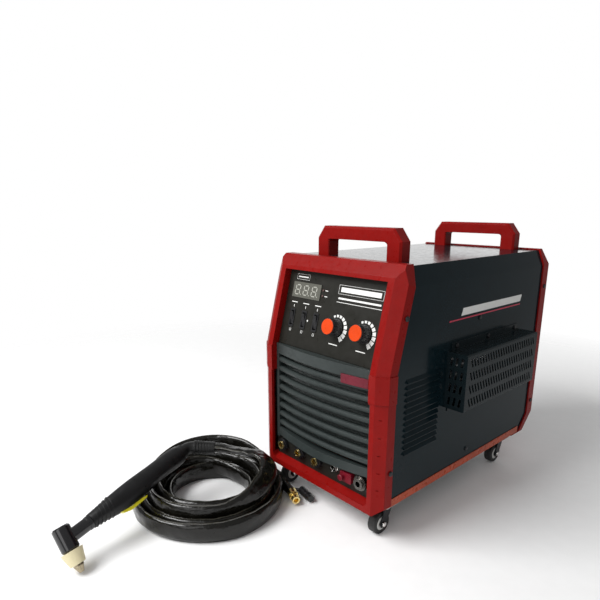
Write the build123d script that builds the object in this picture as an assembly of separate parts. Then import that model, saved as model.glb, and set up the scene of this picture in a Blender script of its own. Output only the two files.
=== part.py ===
from build123d import *
import math
import os

# Plasma cutter power unit on four casters, with its hand torch and coiled torch lead.
# Millimetres. While it is modelled, X = 0 is the middle of the cabinet, Y = 0 is the front lip
# (the front faces -Y) and Z = 0 is the floor. At the end everything is shifted so that the origin
# is under the middle of the box of cabinet and torch.

# ---------------------------------------------------------------- driving dimensions
BASE_Z = 55.0            # underside of the cabinet
TOP_Z = 455.0            # top of the sheet cover
COVER_X = 147.0          # half-width of the sheet cover
SHEET = 2.0              # sheet thickness
BEZEL_X = 150.0          # half-width of the plastic end frames
DEPTH = 518.0            # rear face of the rear frame
TOP_CUT = (12.0, 30.0)   # top edge chamfer: inward, down
FOOT_CUT = 12.0          # bottom edge bevel

LEAN_Z = 293.0           # the front leans back above this height
LEAN = 0.25              # how far back per unit of height
LIP_X = 130.0            # half-width of the front lip
FLANGE_Y = 28.0          # depth of the front frame's side flange
BELT_Z = (248.0, 293.0)  # proud belt across the front frame
WINDOW_X = 118.0         # half-width of the front opening
WINDOW_Z = (66.0, 432.0)
RECESS = 15.0            # how far the panels sit behind the lip
WALL = 3.0

ARC_SAG = 12.0           # bow of the front grille
SLAT_TOP, SLAT_PITCH, SLATS = 264.0, 18.0, 8
HOOD_Z = (276.5, 295.8)
BAFFLE_Y = 25.5          # splash baffle behind the grille's blades
SILL_Z, SILL_RISE = (108.0, 124.0), 5.0

SOCKET_X, SOCKET_Z, SOCKET_Y = (-101.0, -54.0, -8.5), 95.0, 8.0
CONTROL_SOCKET = (37.0, 100.0)
PILOT_XZ = (67.0, 96.0)
TORCH_SOCKET = (98.0, 97.0)

SWITCH_X, SWITCH_UP = (-93.5, -63.0, -32.5), 54.0
KNOB_X, KNOB_UP = (18.4, 79.9), 54.0

HANDLE_Y = (92.0, 466.0)
HANDLE_T, HANDLE_X, HANDLE_TOP = 27.4, 95.7, 508.0
GRIP_X, GRIP_Z = 66.0, 485.5

VENT_Y, VENT_Z, VENT_X = (166.0, 419.0), (205.0, 305.0), 185.5
LOUVRE_Y, LOUVRE_Z, LOUVRES, LOUVRE_PITCH = (55.0, 146.0), 151.0, 13, 10.2

CASTER_X, CASTER_Y, TRAIL = 115.0, (55.0, 440.0), 14.0
WHEEL_R, WHEEL_W, AXLE_R = 20.0, 16.0, 3.0
RUN = 0.05               # radial running clearance of pins and shafts

FAN_XZ = (0.0, 300.0)
BREAKER = (-85.0, 190.0)
GLAND, INLET = (85.0, 160.0), (85.0, 230.0)

# hand torch: point where its axis crosses the head, and the rear end of the handle
HEAD_AT = Vector(-145, -386, 48)
HANDLE_END = Vector(-204.7, -152.1, 92)
CUP_DIRECTION = Vector(0.58, 0.16, -0.80)
TRIGGER_X = 92.0         # trigger hinge, behind the head

# coiled lead: flat sheath standing on its edge, in two layers towards the inside
COIL_AT, COIL_R, COIL_H = (-160.0, -122.0), (69.0, 141.0), (38.0, 54.0)
LEAD_R = 9.0

parts = {}


# ---------------------------------------------------------------- helpers
def box(x, y, z):
    """Box from its low and high values along each axis."""
    size = [b - a for a, b in (x, y, z)]
    middle = [(a + b) / 2 for a, b in (x, y, z)]
    return Pos(*middle) * Box(*size)


def along_y(points, low, high):
    """Prism of an XZ outline between two values of Y."""
    face = make_face(Polyline(*[(x, low, z) for x, z in points], close=True)).face()
    return Solid.extrude(face, Vector(0, high - low, 0))


def along_x(points, low, high):
    """Prism of a YZ outline between two values of X."""
    face = make_face(Polyline(*[(low, y, z) for y, z in points], close=True)).face()
    return Solid.extrude(face, Vector(high - low, 0, 0))


def upright(points, low, high, lean=0.0):
    """Prism of an XY outline between two heights, leaning back by lean per unit of height."""
    face = make_face(Polyline(*[(x, y, low) for x, y in points], close=True)).face()
    return Solid.extrude(face, Vector(0, lean * (high - low), high - low))


def rod(start, end, radius):
    """Cylinder between two points."""
    start, end = Vector(*start), Vector(*end)
    return Plane(origin=start, z_dir=end - start) * extrude(Circle(radius), (end - start).length)


def ring(start, end, outer, inner):
    return rod(start, end, outer) - rod(start, end, inner)


def octagon(inset=0.0):
    """The cabinet's cross-section, seen from the front."""
    side, top, foot = COVER_X - inset, TOP_Z - inset, BASE_Z + inset
    cut, drop = TOP_CUT
    right = [(side - FOOT_CUT + inset * 0.4, foot), (side, BASE_Z + FOOT_CUT + inset * 0.4)]
    right += [(side, TOP_Z - drop - inset * 0.3), (side - cut, top)]
    return right + [(-x, z) for x, z in reversed(right)]


def group(shapes):
    """Separate solids that share one node."""
    return Compound([solid for shape in shapes for solid in shape.solids()])


# ---------------------------------------------------------------- front frame
def front_zone(outline, low=BASE_Z, high=TOP_Z + 3.5):
    """A plan outline carried up the front: upright to LEAN_Z and leaning back above it."""
    moved = [(x, y + LEAN * max(0.0, low - LEAN_Z)) for x, y in outline]
    if high <= LEAN_Z:
        return upright(moved, low, high)
    if low >= LEAN_Z:
        return upright(moved, low, high, LEAN)
    return upright(outline, low, LEAN_Z) + upright(outline, LEAN_Z, high, LEAN)


def plan(half, corner, side, back):
    """Plan outline of the front frame: lip, corner facet and side flange."""
    right = [(half, 0.0), (side - 2.0, corner), (side, back)]
    return right + [(-x, y) for x, y in reversed(right)]


def edge_cuts(side, top):
    """The wedges that bevel the lower, the upper side and the sloping top edges."""
    cut, drop = TOP_CUT
    cuts = []
    for s in (1, -1):
        cuts.append(along_y([(s * (LIP_X + 1), BASE_Z - 1), (s * (side + 9), BASE_Z - 1),
                             (s * (side + 9), BASE_Z + 24)], -10, 90))
        cuts.append(along_y([(s * side, TOP_Z - drop), (s * (side - cut), top),
                             (s * (side - cut - 9), top + 22), (s * (side + 30), top + 22),
                             (s * (side + 30), TOP_Z - drop)], -10, 120))
    slope = [(36.5, 438.9), (52.0, top), (58.2, top + 7.5), (-20, top + 7.5), (-20, 438.9)]
    cuts.append(along_x(slope, -200, 200))
    return cuts


def make_front_bezel():
    top = TOP_Z + 3.0
    body = front_zone(plan(LIP_X, 12.0, BEZEL_X, FLANGE_Y))
    belt = upright([(x * 1.009, y - 1.5 if y == 0 else y) for x, y in
                    plan(LIP_X, 11.0, BEZEL_X, FLANGE_Y)], *BELT_Z)
    body = body + belt
    hollow = [(-124, 6), (124, 6), (143, 17), (145, 90), (-145, 90), (-143, 17)]
    inside = front_zone(hollow, BASE_Z + WALL, WINDOW_Z[1] + WALL)
    for s in (1, -1):
        inside = inside - along_y([(s * (LIP_X - 4), BASE_Z - 1), (s * (BEZEL_X + 9), BASE_Z - 1),
                                   (s * (BEZEL_X + 9), BASE_Z + 28)], -10, 120)
    body = body - inside
    body = body - box((-132, 132), (58, 90), (WINDOW_Z[1], TOP_Z - 2.0))
    recess_wall = front_zone([(-121, 0.5), (121, 0.5), (121, RECESS), (-121, RECESS)],
                             BASE_Z + 0.5, WINDOW_Z[1] + WALL)
    body = body + recess_wall
    low, high = WINDOW_Z
    opening = front_zone([(-WINDOW_X, -9), (WINDOW_X, -9), (WINDOW_X, 70), (-WINDOW_X, 70)], 125, high)
    wide = WINDOW_X + 3.0
    lower = box((-wide, wide), (-9, 70), (low, 245))
    lower = fillet(lower.edges().filter_by(Axis.Y).group_by(Axis.Z)[0], 11)
    body = body - opening - lower
    sill = [(2.0, low), (RECESS, low + 6), (RECESS, low - 6), (2.0, low - 6)]
    body = body + along_x(sill, -wide + 1, wide - 1)
    for cutter in edge_cuts(BEZEL_X, top):
        body = body - cutter
    body = body - box((-200, 200), (-20, 200), (top, top + 30))
    for s in (1, -1):
        for step in range(5):
            z = 102.0 + 30.2 * step
            body = body - box(sorted((s * 136.0, s * 160.0)), (-3.0, 7.4), (z - 0.6, z + 0.6))
    return body


# ---------------------------------------------------------------- cover, tray and rear frame
SIDE_SCREWS = [(44, 379), (22, 131)]
COVER_SCREWS = [(254, 97), (263, 350)]
REAR_SCREWS = [(507, 382), (507, 131)]
VENT_SCREWS = [(191, 311), (296, 311), (397, 311)]
TOP_SCREW_X = 80.0


def rear_slant(inset):
    """Everything behind the slanted lower rear corner, moved inwards by inset."""
    reach = DEPTH - 103.0 - inset
    return along_x([(reach + 20, 20), (reach + 480, 480), (900, 480), (900, 20)], -300, 300)


def make_cover():
    start, end = 20.0, DEPTH - 10.2
    shell = along_y(octagon(), start, end) - along_y(octagon(SHEET), start - 1, end + 1)
    shell = shell - box((-200, 200), (0, 600), (BASE_Z - 5, BASE_Z + FOOT_CUT + 0.3))
    ahead = [(-10, 20), (FLANGE_Y + 0.4, 20), (FLANGE_Y + 0.4, LEAN_Z)]
    ahead += [(FLANGE_Y + 0.4 + LEAN * 190, LEAN_Z + 190), (-10, LEAN_Z + 190)]
    shell = shell - along_x(ahead, -300, 300) - rear_slant(11.6)
    for s in (1, -1):
        for step in range(LOUVRES):
            shell = shell + louvre(s, LOUVRE_Z + LOUVRE_PITCH * step)
        for step in range(LOUVRES):
            shell = shell - louvre_hollow(s, LOUVRE_Z + LOUVRE_PITCH * step)
    y, z = VENT_Y, VENT_Z
    shell = shell - box((COVER_X - 5, COVER_X + 5), (y[0] + 14, y[1] - 14), (z[0] + 14, z[1] - 14))
    return shell


def louvre(s, z):
    """A pressed louvre on one side of the cover."""
    low, high = LOUVRE_Y
    side = COVER_X - 0.5
    section = [(side, z + 7.6), (side + 4.0, z + 0.8), (side + 4.0, z), (side, z)]
    return along_y([(s * x, height) for x, height in section], low, high)


def louvre_hollow(s, z):
    low, high = LOUVRE_Y
    inside, outside = COVER_X - 3.0, COVER_X + 2.6
    return along_y([(s * inside, z + 4.6), (s * (COVER_X - 0.6), z + 4.6), (s * outside, z + 0.4),
                    (s * outside, z - 0.1), (s * inside, z - 0.1)], low + 1.2, high - 1.2)


def make_tray():
    end = DEPTH - 103.0 - 11.6 + BASE_Z - 1.5
    half = 133.5
    tray = box((-half, half), (FLANGE_Y + 1, end), (BASE_Z, BASE_Z + SHEET))
    for x in ((-half, -half + SHEET), (half - SHEET, half)):
        tray = tray + box(x, (FLANGE_Y + 1, end), (BASE_Z, BASE_Z + 20))
    tray = tray + box((-half, half), (FLANGE_Y + 1, FLANGE_Y + 1 + SHEET), (BASE_Z, BASE_Z + 8))
    rim = COVER_X - FOOT_CUT
    for s in (1, -1):
        bevel = [(rim - 2.6, BASE_Z), (rim + 0.2, BASE_Z), (COVER_X, BASE_Z + FOOT_CUT - 0.2),
                 (COVER_X - 2.8, BASE_Z + FOOT_CUT - 0.2)]
        tray = tray + (along_y([(s * x, z) for x, z in bevel], FLANGE_Y + 1, 560) - rear_slant(11.8))
        foot = BASE_Z + FOOT_CUT
        lip = [(COVER_X - 1.5, foot - 1.7), (COVER_X + 1.2, foot + 0.5), (COVER_X + 1.2, foot + 14),
               (COVER_X + 0.1, foot + 14), (COVER_X + 0.1, foot), (COVER_X - 1.5, foot)]
        tray = tray + along_y([(s * x, z) for x, z in lip], FLANGE_Y + 1, 464)
    for x in (-CASTER_X, CASTER_X):
        for y in CASTER_Y:
            for dx, dy in CASTER_BOLTS:
                tray = tray - rod((x + dx, y + dy, BASE_Z - 1), (x + dx, y + dy, BASE_Z + 5), 2.2)
    return tray


def make_rear_bezel():
    side_view = [(DEPTH - 22, TOP_Z + 3), (DEPTH - 13, TOP_Z + 3), (DEPTH, 428), (DEPTH, 103),
                 (DEPTH - 48, BASE_Z), (DEPTH - 58, BASE_Z), (DEPTH - 54, 64), (DEPTH - 22, 103)]
    body = along_x(side_view, -BEZEL_X, BEZEL_X)
    cut, drop = TOP_CUT
    right = [(BEZEL_X - FOOT_CUT, BASE_Z), (BEZEL_X, BASE_Z + FOOT_CUT), (BEZEL_X, TOP_Z - drop + 2)]
    right += [(BEZEL_X - cut, TOP_Z + 3)]
    body = body & along_y(right + [(-x, z) for x, z in reversed(right)], 300, 600)
    inner = along_y(octagon(-0.15), 300, DEPTH - 10) - rear_slant(11.2)
    body = body - inner
    window = box((-132, 132), (400, 600), (118, 440))
    window = fillet(window.edges().filter_by(Axis.Y), 10)
    return body - window


def make_rear_panel():
    half, low, high = 142.6, 110.0, TOP_Z - SHEET - 1.5
    y = (DEPTH - 13.0, DEPTH - 10.4)
    outline = [(half, low), (half, 424), (half - 11.5, high)]
    panel = along_y(outline + [(-x, z) for x, z in reversed(outline)], *y)
    fx, fz = FAN_XZ
    for outer, inner in ((54, 46), (42, 34), (30, 22), (18, 12)):
        panel = panel - ring((fx, y[0] - 1, fz), (fx, y[1] + 1, fz), outer, inner)
    for turn in (0, 45, 90, 135):
        spoke = Pos(fx, (y[0] + y[1]) / 2, fz) * Rot(0, turn, 0) * Box(110, y[1] - y[0], 4)
        panel = panel + spoke
    panel = panel - box((BREAKER[0] - 20, BREAKER[0] + 20), (y[0] - 1, y[1] + 1),
                        (BREAKER[1] - 28, BREAKER[1] + 28))
    for x, z in (GLAND, INLET):
        panel = panel - rod((x, y[0] - 1, z), (x, y[1] + 1, z), 8.05)
    return panel


# ---------------------------------------------------------------- handles and screws
def make_handle(front):
    x, foot, top, bar = HANDLE_X, TOP_Z, HANDLE_TOP, 21.0
    outer = [(-x, foot), (-x, top - bar), (-x + 16, top), (x - 16, top), (x, top - bar), (x, foot)]
    body = along_y(outer, front, front + HANDLE_T)
    rim = body.faces().filter_by(Axis.Y).edges()
    body = chamfer([e for e in rim if e.center().Z > foot + 1], 3.5)
    grip = box((-GRIP_X, GRIP_X), (front - 5, front + HANDLE_T + 5), (foot - 5, GRIP_Z))
    grip = fillet(grip.edges().filter_by(Axis.Y).group_by(Axis.Z)[-1], 5)
    for s in (1, -1):
        for y in (front - 1, front + HANDLE_T + 1):
            grip = grip + Pos(s * GRIP_X, y, foot + 10) * Rot(0, 0, 45) * Box(4, 4, 40)
    body = body - grip
    for s in (1, -1):
        middle = front + HANDLE_T / 2
        body = body - rod((s * TOP_SCREW_X, middle, foot - 1), (s * TOP_SCREW_X, middle, foot + 18), 2.6)
    return body


def screw(head, normal, length=7.0, head_r=4.2):
    """Pan-head screw: the head stands on the surface at head, the shank runs in against normal."""
    head, normal = Vector(*head), Vector(*normal)
    cap = rod(head, head + normal * 2.4, head_r)
    cap = chamfer(cap.edges().sort_by(lambda e: (e.center() - head).dot(normal))[-1], 0.9)
    return cap + rod(head - normal * length, head + normal * 0.5, 1.9)


def screw_places():
    places = []
    for s in (1, -1):
        for y, z in SIDE_SCREWS:
            places.append(((s * (BEZEL_X - 0.2), y, z), (s, 0, 0)))
        for y, z in COVER_SCREWS:
            places.append(((s * COVER_X, y, z), (s, 0, 0)))
        for y, z in REAR_SCREWS:
            places.append(((s * BEZEL_X, y, z), (s, 0, 0)))
    for y, z in VENT_SCREWS:
        places.append(((COVER_X + 1.56, y, z), (1, 0, 0)))
    for front in HANDLE_Y:
        for s in (1, -1):
            places.append(((s * TOP_SCREW_X, front + HANDLE_T / 2, TOP_Z - SHEET), (0, 0, -1)))
    return places


def screw_holes():
    holes = []
    for head, normal in screw_places():
        head, normal = Vector(*head), Vector(*normal)
        holes.append(rod(head - normal * 20, head + normal * 0.01, 2.15))
    return holes


# ---------------------------------------------------------------- side vent box
def make_vent_box():
    x, (y0, y1), (z0, z1), t = VENT_X, VENT_Y, VENT_Z, 1.5
    low = COVER_X + 0.02
    body = box((low, x), (y0, y1), (z0, z1))
    body = chamfer([e for e in body.edges().filter_by(Axis.Y) if e.center().X > x - 1], 2)
    body = body - box((low - 1, x - t), (y0 + t, y1 - t), (z0 + t, z1 - t))
    body = body + box((low, low + t), (y0 + 10, y1 - 10), (z1 - 1, z1 + 13))
    body = body + box((low, low + t), (y0 + 10, y1 - 10), (z0 - 10, z0 + 1))
    slots = []
    columns = 26
    pitch = (y1 - y0 - 22.0) / columns
    for row in range(4):
        z = z0 + 14.5 + 23.6 * row
        for column in range(columns):
            y = y0 + 15.0 + pitch * column
            slots.append(Pos(x, y, z) * Rot(24, 0, 0) * Box(8, 4.0, 16.5))
        for column in range(3):
            across = low + 8.5 + 10.2 * column
            for end in (y0, y1):
                slots.append(Pos(across, end, z) * Rot(0, 8, 0) * Box(4.4, 8, 15))
    return body - slots


# ---------------------------------------------------------------- front grille and panels
ARC_R = (WINDOW_X ** 2 + ARC_SAG ** 2) / (2 * ARC_SAG)


def arc_band(inner, outer, z, half=WINDOW_X - 0.4):
    """Bowed band, from inner to outer millimetres behind the bow's front face."""
    band = Pos(0, ARC_R, (z[0] + z[1]) / 2) * Cylinder(ARC_R - inner, z[1] - z[0])
    band = band & box((-half, half), (-5, 60), z)
    return band - Pos(0, ARC_R, (z[0] + z[1]) / 2) * Cylinder(ARC_R - outer, z[1] - z[0] + 2)


def make_slat(z):
    """One rounded louvre blade, sloping down to the front."""
    section = [(ARC_R - 13, z + 3.5), (ARC_R - 4, z + 5.6), (ARC_R - 1.2, z + 4.2), (ARC_R, z + 1.0),
               (ARC_R - 1.0, z - 2.6), (ARC_R - 4, z - 4.2), (ARC_R - 13, z + 0.8)]
    face = make_face(Polyline(*[(0, -r, h) for r, h in section], close=True))
    blade = revolve(face, Axis.Z, 30)
    blade = Rot(0, 0, -15) * blade
    half = WINDOW_X - 5.0
    return (Pos(0, ARC_R, 0) * blade) & box((-half, half), (-5, 60), (z - 8, z + 8))


def make_grille():
    half, back = WINDOW_X - 0.4, RECESS - 0.1
    body = arc_band(0, 40, HOOD_Z) & box((-half, half), (-5, back), HOOD_Z)
    low, high = SILL_Z
    lower = arc_band(0, 40, (low, high + 6), half + 2.6) & box((-130, 130), (-5, back), (low, high + 6))
    for s in (1, -1):
        under = [(14, low), (130, low + SILL_RISE), (130, low - 1), (14, low - 1)]
        lower = lower - along_y([(s * x, z) for x, z in under], -10, 60)
    lower = lower - along_y([(-130, high + SILL_RISE), (-14, high), (14, high), (130, high + SILL_RISE),
                             (130, high + 20), (-130, high + 20)], -10, 60)
    body = body + lower
    for s in (1, -1):
        outer = s * half
        inner = s * (half - 6)
        body = body + box(sorted((inner, outer)), (10.5, back), (SILL_Z[0], HOOD_Z[1]))
        body = body + box(sorted((inner, outer)), (10.5, BAFFLE_Y + 1.6), (SILL_Z[1] - 4, HOOD_Z[1]))
        low_rail = sorted((inner, s * (half + 2.6)))
        body = body + box(low_rail, (11.5, back), (SILL_Z[0], 244.6))
    body = body + box((-half, half), (BAFFLE_Y, BAFFLE_Y + 1.6), (SILL_Z[1] - 4, HOOD_Z[1]))
    for step in range(SLATS):
        body = body + make_slat(SLAT_TOP - SLAT_PITCH * step)
    return body


def make_badge():
    z = (265.5, 281.0)
    band = Pos(0, ARC_R, (z[0] + z[1]) / 2) * Cylinder(ARC_R + 1.9, z[1] - z[0])
    band = band - Pos(0, ARC_R, (z[0] + z[1]) / 2) * Cylinder(ARC_R + 0.15, z[1] - z[0] + 2)
    return band & box((57.0, 109.0), (-10, 60), z)


PANEL_PLANE = Plane(origin=(0, RECESS, LEAN_Z), x_dir=(1, 0, 0), z_dir=(0, -1, LEAN))


def on_panel(x, up, out=0.0):
    """Location on the leaning control panel: x across, up along the slope, out of its face."""
    return PANEL_PLANE.location * Pos(x, up, out)


def make_control_panel():
    low, high, t = 3.2, 145.0, 3.0
    plate = on_panel(0, (low + high) / 2, -t / 2) * Box(241, high - low, t)
    for x in SWITCH_X:
        plate = plate - on_panel(x, SWITCH_UP, -t / 2) * Box(9.2, 29.2, t + 2)
    for x in KNOB_X:
        plate = plate - on_panel(x, KNOB_UP, -t / 2) * Cylinder(3.6, t + 2)
    plate = plate - on_panel(-67, 106, -t / 2) * Box(66, 23, t + 2)
    for up in (101.5, 111.5):
        plate = plate - on_panel(-26, up, -t / 2) * Cylinder(1.65, t + 2)
    return plate


def make_connector_panel():
    plate = box((-123.5, 123.5), (RECESS, RECESS + 3), (BASE_Z + 6, SILL_Z[0] + 10))
    for x in SOCKET_X:
        plate = plate - rod((x, 0, SOCKET_Z), (x, 40, SOCKET_Z), 9.05)
    for (x, z), r in ((CONTROL_SOCKET, 6.05), (TORCH_SOCKET, 9.05)):
        plate = plate - rod((x, 0, z), (x, 40, z), r)
    return plate - box((PILOT_XZ[0] - 8, PILOT_XZ[0] + 8), (0, 40), (PILOT_XZ[1] - 5, PILOT_XZ[1] + 5))


def flanged(x, z, flange_r, neck_r, front, bore_r, back=44.0, bore_to=None):
    """Round connector body: flange in front of the panel, neck through it, bore from the front."""
    body = rod((x, front, z), (x, RECESS, z), flange_r) + rod((x, RECESS - 0.5, z), (x, back, z), neck_r)
    body = body - rod((x, front - 1, z), (x, bore_to or back + 1, z), bore_r)
    return body


def make_socket_body(x):
    body = flanged(x, SOCKET_Z, 12.3, 9.0, SOCKET_Y, 7.6)
    collar = ring((x, SOCKET_Y - 3, SOCKET_Z), (x, SOCKET_Y + 1, SOCKET_Z), 10.0, 7.6)
    return body + collar


def make_socket_insert(x):
    front, back = SOCKET_Y - 4.5, 46.0
    insert = rod((x, front, SOCKET_Z), (x, back, SOCKET_Z), 7.55)
    insert = insert - rod((x, front - 1, SOCKET_Z), (x, front + 24, SOCKET_Z), 4.6)
    return insert - box((x - 1.6, x + 1.6), (front - 1, front + 16), (SOCKET_Z, SOCKET_Z + 6.2))


def make_control_socket():
    x, z = CONTROL_SOCKET
    body = flanged(x, z, 7.2, 6.0, 12.0, 4.9, 34.0, 24.0)
    body = body + ring((x, 7.5, z), (x, 12.5, z), 6.2, 4.9)
    for turn in range(4):
        pin = Vector(2.2, 0, 0).rotate(Axis.Y, 45 + 90 * turn)
        body = body + rod((x + pin.X, 10, z + pin.Z), (x + pin.X, 25, z + pin.Z), 0.8)
    return body


def make_pilot_terminal():
    x, z = PILOT_XZ
    block = box((x - 12, x + 14), (6, RECESS), (z - 9, z + 9))
    block = fillet(block.edges().filter_by(Axis.Y), 3)
    block = block + box((x - 7.8, x + 7.8), (RECESS - 1, 32), (z - 4.8, z + 4.8))
    knob = rod((x - 6, -1, z - 1), (x - 6, 7, z - 1), 5.6)
    knob = chamfer(knob.edges().group_by(Axis.Y)[0], 1.0)
    return block + knob


def make_torch_socket():
    x, z = TORCH_SOCKET
    body = flanged(x, z, 13.0, 9.0, 8.0, 5.0, 44.0, 30.0)
    for front, r in ((6.0, 11.2), (3.5, 9.6)):
        body = body + ring((x, front, z), (x, 9, z), r, 5.0)
    return body


# ---------------------------------------------------------------- switches, knobs, meter
def make_switch_body(x):
    body = on_panel(x, SWITCH_UP, 0.6) * Box(12.4, 33.0, 1.2)
    body = body + on_panel(x, SWITCH_UP, -8.0) * Box(9.0, 29.0, 16.0)
    body = body - on_panel(x, SWITCH_UP, -4.0) * Box(7.4, 26.4, 14.0)
    return body + rocker_pin(x, 8.0, 0.8)


def rocker_pin(x, length, radius):
    return on_panel(x, SWITCH_UP, -1.0) * Rot(0, 90, 0) * Cylinder(radius, length)


def make_rocker(x):
    """Rocker paddle, its lower end pressed in; it turns about the middle of its length."""
    paddle = on_panel(x, SWITCH_UP, -1.0) * Rot(12, 0, 0) * Box(6.6, 23.0, 5.0)
    paddle = fillet(paddle.edges().filter_by(Axis.X), 1.0)
    return paddle - rocker_pin(x, 9.0, 0.8 + RUN)


def make_knob(x):
    """Control knob with a skirt, a fluted grip and a blind bore for its shaft."""
    skirt = on_panel(x, KNOB_UP, 2.5) * Cylinder(15.5, 3.0)
    grip = on_panel(x, KNOB_UP, 12.0) * Cone(14.6, 14.2, 18.0)
    knob = skirt + grip
    for turn in range(18):
        knob = knob - on_panel(x, KNOB_UP, 14.5) * Rot(0, 0, 20 * turn) * Pos(14.9, 0, 0) * Cylinder(1.1, 18)
    knob = knob - on_panel(x, KNOB_UP, 21.0) * Cylinder(13.1, 1.0)
    return knob - on_panel(x, KNOB_UP, 6.0) * Cylinder(3.0 + RUN, 18.0)


def make_knob_cap(x):
    cap = on_panel(x, KNOB_UP, 21.3) * Cylinder(13.0, 1.6)
    return fillet(cap.edges().sort_by(lambda e: e.center().Y)[0], 0.6)


def make_potentiometer(x):
    body = on_panel(x, KNOB_UP, -8.2) * Cylinder(8.5, 10.0)
    return body + on_panel(x, KNOB_UP, 5.0) * Cylinder(3.0, 18.0)


def make_meter():
    frame = on_panel(-67, 106, 0.9) * Box(71, 28, 1.6)
    return frame + on_panel(-67, 106, -5) * Box(65.6, 22.6, 12)


def make_lamp(up):
    lamp = on_panel(-26, up, -1.0) * Cylinder(1.6, 5.0)
    return lamp + on_panel(-26, up, 0.7) * Cylinder(2.2, 1.0)


# ---------------------------------------------------------------- rear fittings
def make_fan_frame():
    x, z = FAN_XZ
    y = (DEPTH - 13.0 - 38.0, DEPTH - 13.05)
    frame = box((x - 60, x + 60), y, (z - 60, z + 60))
    frame = fillet(frame.edges().filter_by(Axis.Y), 5)
    frame = frame - rod((x, y[0] - 1, z), (x, y[1] + 1, z), 57.5)
    spider = rod((x, y[0], z), (x, y[0] + 4, z), 20)
    for turn in (45, 135):
        spider = spider + Pos(x, y[0] + 2, z) * Rot(0, turn, 0) * Box(118, 4, 5)
    shaft = rod((x, y[0] + 3, z), (x, y[0] + 30, z), 2.0)
    return frame + spider + shaft


def make_fan_rotor():
    x, z = FAN_XZ
    y = DEPTH - 13.0 - 38.0 + 6.0
    rotor = rod((x, y, z), (x, y + 27, z), 21)
    for blade in range(7):
        vane = Pos(x, y + 13.5, z) * Rot(0, blade * 360 / 7, 0) * Pos(37.0, 0, 0) * Rot(38, 0, 0)
        rotor = rotor + vane * Box(34.5, 2.0, 30)
    return rotor - rod((x, y - 1, z), (x, y + 25, z), 2.0 + RUN)


def make_breaker():
    x, z = BREAKER
    body = box((x - 19.6, x + 19.6), (DEPTH - 60, DEPTH - 8.5), (z - 27.6, z + 27.6))
    body = body + box((x - 24, x + 24), (DEPTH - 10.4, DEPTH - 8.5), (z - 32, z + 32))
    body = body - box((x - 8, x + 8), (DEPTH - 22, DEPTH), (z - 14, z + 14))
    return body + rod((x - 9, DEPTH - 15, z), (x + 9, DEPTH - 15, z), 1.5)


def make_breaker_lever():
    x, z = BREAKER
    pivot = rod((x - 7.4, DEPTH - 15, z), (x + 7.4, DEPTH - 15, z), 5.5)
    handle = Pos(x, DEPTH - 15, z) * Rot(-20, 0, 0) * Pos(0, 9.5, 0) * Box(12, 15, 6)
    return pivot + handle - rod((x - 9, DEPTH - 15, z), (x + 9, DEPTH - 15, z), 1.5 + RUN)


def make_gland():
    x, z = GLAND
    hexagon = Pos(x, DEPTH - 7.0, z) * Rot(90, 0, 0) * extrude(RegularPolygon(14, 6), 3.3, both=True)
    body = hexagon + rod((x, DEPTH - 24, z), (x, DEPTH - 8, z), 8.0)
    body = body + rod((x, DEPTH - 5, z), (x, DEPTH + 9, z), 11.5)
    return body - rod((x, DEPTH - 30, z), (x, DEPTH + 20, z), 6.0)


def make_inlet():
    x, z = INLET
    hexagon = Pos(x, DEPTH - 7.0, z) * Rot(90, 0, 0) * extrude(RegularPolygon(11, 6), 3.3, both=True)
    body = hexagon + rod((x, DEPTH - 28, z), (x, DEPTH - 8, z), 8.0)
    body = body + rod((x, DEPTH - 5, z), (x, DEPTH + 17, z), 4.0)
    return body - rod((x, DEPTH - 30, z), (x, DEPTH + 20, z), 2.2)


# ---------------------------------------------------------------- inside the cabinet
def make_valve():
    x, z = INLET
    body = box((x - 14, x + 14), (DEPTH - 68, DEPTH - 28.2), (z - 14, z + 14))
    coil = rod((x, DEPTH - 50, z + 13), (x, DEPTH - 50, z + 50), 12)
    return body + coil


def make_heat_sink():
    base = box((70, 76), (180, 400), (110, 300))
    for step in range(12):
        z = 112.0 + 16.0 * step
        base = base + box((75.5, 120), (180, 400), (z, z + 3))
    return base


def make_transformer():
    low = BASE_Z + SHEET
    core = box((-110, -30), (120, 230), (low, low + 90))
    core = core - box((-92, -48), (110, 240), (low + 18, low + 72))
    return core + box((-90, -50), (126, 224), (low, low + 90))


def make_main_board():
    board = box((55, 57), (120, 430), (100, 330))
    pieces = [board]
    for step in range(4):
        y = 170.0 + 50.0 * step
        pieces.append(rod((54.98, y, 270), (5, y, 270), 17.5))
    return group(pieces)


# ---------------------------------------------------------------- casters
CASTER_BOLTS = [(dx, dy) for dx in (-14.0, 14.0) for dy in (-12.0, 12.0)]


def make_caster_plate(x, y):
    top = BASE_Z - 0.02
    plate = box((x - 20, x + 20), (y - 17, y + 17), (top - 2.5, top))
    plate = fillet(plate.edges().filter_by(Axis.Z), 3)
    plate = plate - rod((x, y, top - 5), (x, y, top + 1), 4.0 + RUN)
    for dx, dy in CASTER_BOLTS:
        plate = plate + rod((x + dx, y + dy, top - 4.3), (x + dx, y + dy, top - 2), 3.4)
        plate = plate + rod((x + dx, y + dy, top - 2), (x + dx, y + dy, top + 4.4), 1.9)
    return plate


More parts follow.
